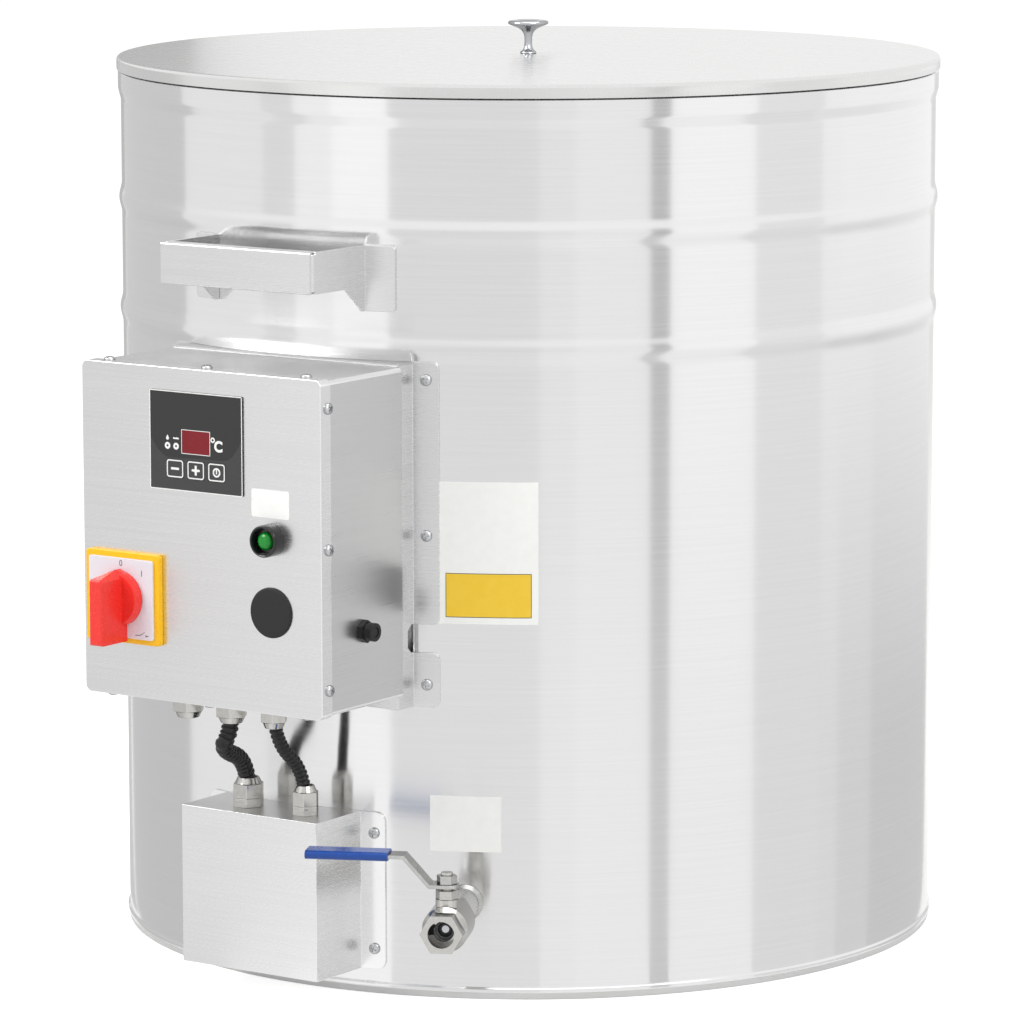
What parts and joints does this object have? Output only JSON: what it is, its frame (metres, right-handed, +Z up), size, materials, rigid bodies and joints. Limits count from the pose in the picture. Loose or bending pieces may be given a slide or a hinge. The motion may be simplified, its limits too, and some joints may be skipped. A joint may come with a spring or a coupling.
{
  "type": "candle wax melter",
  "caption": "Round double-walled steel tank that melts wax, with a lift-off lid, a control box on its side, an immersion heater and a lever ball valve at the foot.",
  "frame": {"origin": "centre of the tank's round base, on the floor", "axes": "+Z up along the tank's axis; the control box faces -Y; +X to the right of a person facing the box's front from -Y"},
  "size_m": [0.6059, 0.7928, 0.667],
  "materials": {
    "brushed_stainless": "fine grit brushed round the tank",
    "folded_stainless": "cold rolled sheet, satin",
    "zinc_plated_steel": "bright zinc",
    "polished_chrome": "polished plating",
    "nickel_plated_brass": "satin nickel plating",
    "welded_pipe": "plain stainless",
    "lever_steel": "zinc plated strip",
    "lever_vinyl": "dipped vinyl",
    "black_moulding": "moulded",
    "red_knob": "moulded",
    "yellow_plate": "moulded",
    "white_plate": "printed sheet",
    "front_foil": "printed polyester foil",
    "key_foil": "printed polyester foil",
    "display_filter": "tinted acrylic",
    "lamp_moulding": "moulded",
    "lamp_lens": "tinted acrylic",
    "hose_polyamide": "corrugated polyamide",
    "reset_moulding": "moulded",
    "reset_plastic": "moulded",
    "seat_ptfe": "turned",
    "heater_brass": "turned",
    "terminal_moulding": "moulded"
  },
  "bodies": {
    "tank": {"outer_shell": "brushed_stainless", "base_pan": "brushed_stainless", "top_deck": "brushed_stainless", "inner_vessel": "brushed_stainless", "box_bracket": "folded_stainless", "box_body": "folded_stainless", "box_cover": "folded_stainless", "heater_box": "folded_stainless", "front_handle_strap": "folded_stainless", "back_handle_strap": "folded_stainless", "front_handle_grip": "folded_stainless", "back_handle_grip": "folded_stainless", "cover_screws": "zinc_plated_steel", "bracket_screws": "zinc_plated_steel", "heater_box_screws": "zinc_plated_steel", "gland_locknuts": "zinc_plated_steel", "lamp_nut": "zinc_plated_steel", "valve_body": "nickel_plated_brass", "valve_end_cap": "nickel_plated_brass", "valve_gland_nut": "nickel_plated_brass", "filler_plug": "nickel_plated_brass", "gland_bodies": "nickel_plated_brass", "gland_caps": "nickel_plated_brass", "drain_pipe": "welded_pipe", "heater_boss": "welded_pipe", "probe_pocket": "welded_pipe", "heater_element": "welded_pipe", "blanking_plug": "black_moulding", "controller_case": "black_moulding", "switch_body": "black_moulding", "thermostat_body": "black_moulding", "switch_plate": "yellow_plate", "switch_face": "white_plate", "controller_foil": "front_foil", "display_window": "display_filter", "lamp_bezel": "lamp_moulding", "lamp_lens": "lamp_lens", "heater_hose": "hose_polyamide", "probe_hose": "hose_polyamide", "reset_bushing": "reset_moulding", "valve_seats": "seat_ptfe", "heater_plug": "heater_brass", "relay_block": "terminal_moulding", "terminal_block": "terminal_moulding"},
    "lid": {"lid_panel": "brushed_stainless", "lid_knob": "polished_chrome", "lid_knob_screw": "zinc_plated_steel"},
    "switch_knob_body": {"switch_knob": "red_knob", "switch_shaft": "black_moulding"},
    "minus_key": {"key_minus": "key_foil"},
    "plus_key": {"key_plus": "key_foil"},
    "power_key": {"key_power": "key_foil"},
    "valve_handle": {"valve_lever": "lever_steel", "lever_sleeve": "lever_vinyl", "lever_nut": "lever_steel", "valve_stem": "nickel_plated_brass", "valve_ball": "polished_chrome"},
    "reset_push": {"reset_button": "reset_plastic"}
  },
  "joints": [
    {"name": "lid_lift", "type": "slide", "parent": "tank", "child": "lid", "axis": [0, 0, 1], "range_m": [0, 0.25]},
    {"name": "switch_turn", "type": "hinge", "parent": "tank", "child": "switch_knob_body", "pos_m": [-0.0655, -0.406, 0.286], "axis": [0, 1, 0], "range_deg": [0, 45]},
    {"name": "minus_press", "type": "slide", "parent": "tank", "child": "minus_key", "axis": [0, 1, 0], "range_m": [0, 0.0005], "stiffness_N_per_m": 900},
    {"name": "plus_press", "type": "slide", "parent": "tank", "child": "plus_key", "axis": [0, 1, 0], "range_m": [0, 0.0005], "stiffness_N_per_m": 900},
    {"name": "power_press", "type": "slide", "parent": "tank", "child": "power_key", "axis": [0, 1, 0], "range_m": [0, 0.0005], "stiffness_N_per_m": 900},
    {"name": "valve_turn", "type": "hinge", "parent": "tank", "child": "valve_handle", "pos_m": [0.16365, -0.33852, 0.097], "axis": [0, 0, 1], "range_deg": [0, 90]},
    {"name": "reset_press", "type": "slide", "parent": "tank", "child": "reset_push", "axis": [-1, 0, 0], "range_m": [0, 0.0015], "stiffness_N_per_m": 1500}
  ]
}
